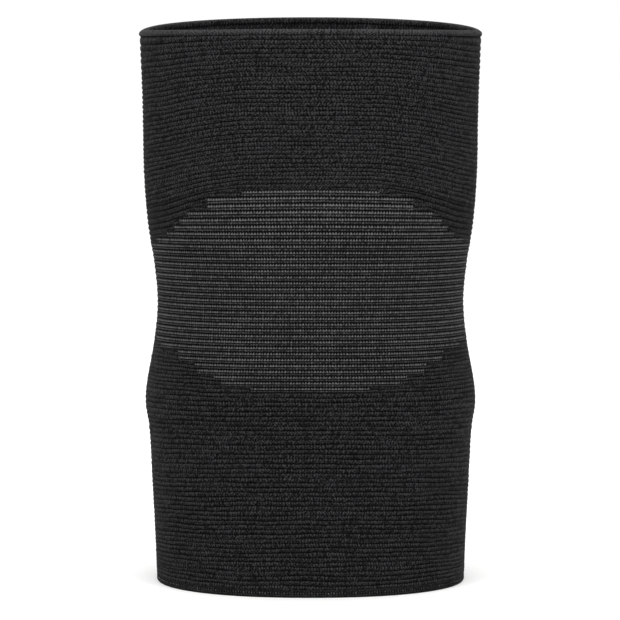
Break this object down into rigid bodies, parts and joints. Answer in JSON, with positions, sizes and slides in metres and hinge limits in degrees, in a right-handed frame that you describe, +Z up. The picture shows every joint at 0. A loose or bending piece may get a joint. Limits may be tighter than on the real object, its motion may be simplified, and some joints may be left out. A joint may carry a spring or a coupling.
{
  "type": "knitted knee support sleeve",
  "caption": "Upright open tube of black elastic knit with a barrel-shaped ribbed kneecap panel, a rolled thigh edge and a turned calf hem.",
  "frame": {"origin": "on the surface the sleeve stands on, under the middle of its bounding box", "axes": "+Z up along the leg, -Y to the front where the kneecap panel is, +X to the right seen from the front"},
  "size_m": [0.1492, 0.1326, 0.2465],
  "materials": {
    "sleeve_knit": "charcoal elastic rib knit, matte",
    "panel_knit": "black and grey striped elastic knit, matte",
    "thigh_welt_knit": "charcoal rolled knit edge, slight sheen",
    "calf_welt_knit": "charcoal turned and stitched knit hem, matte"
  },
  "bodies": {
    "root": {"sleeve_body": "sleeve_knit", "knee_panel": "panel_knit", "thigh_welt": "thigh_welt_knit", "calf_welt": "calf_welt_knit"}
  },
  "joints": []
}
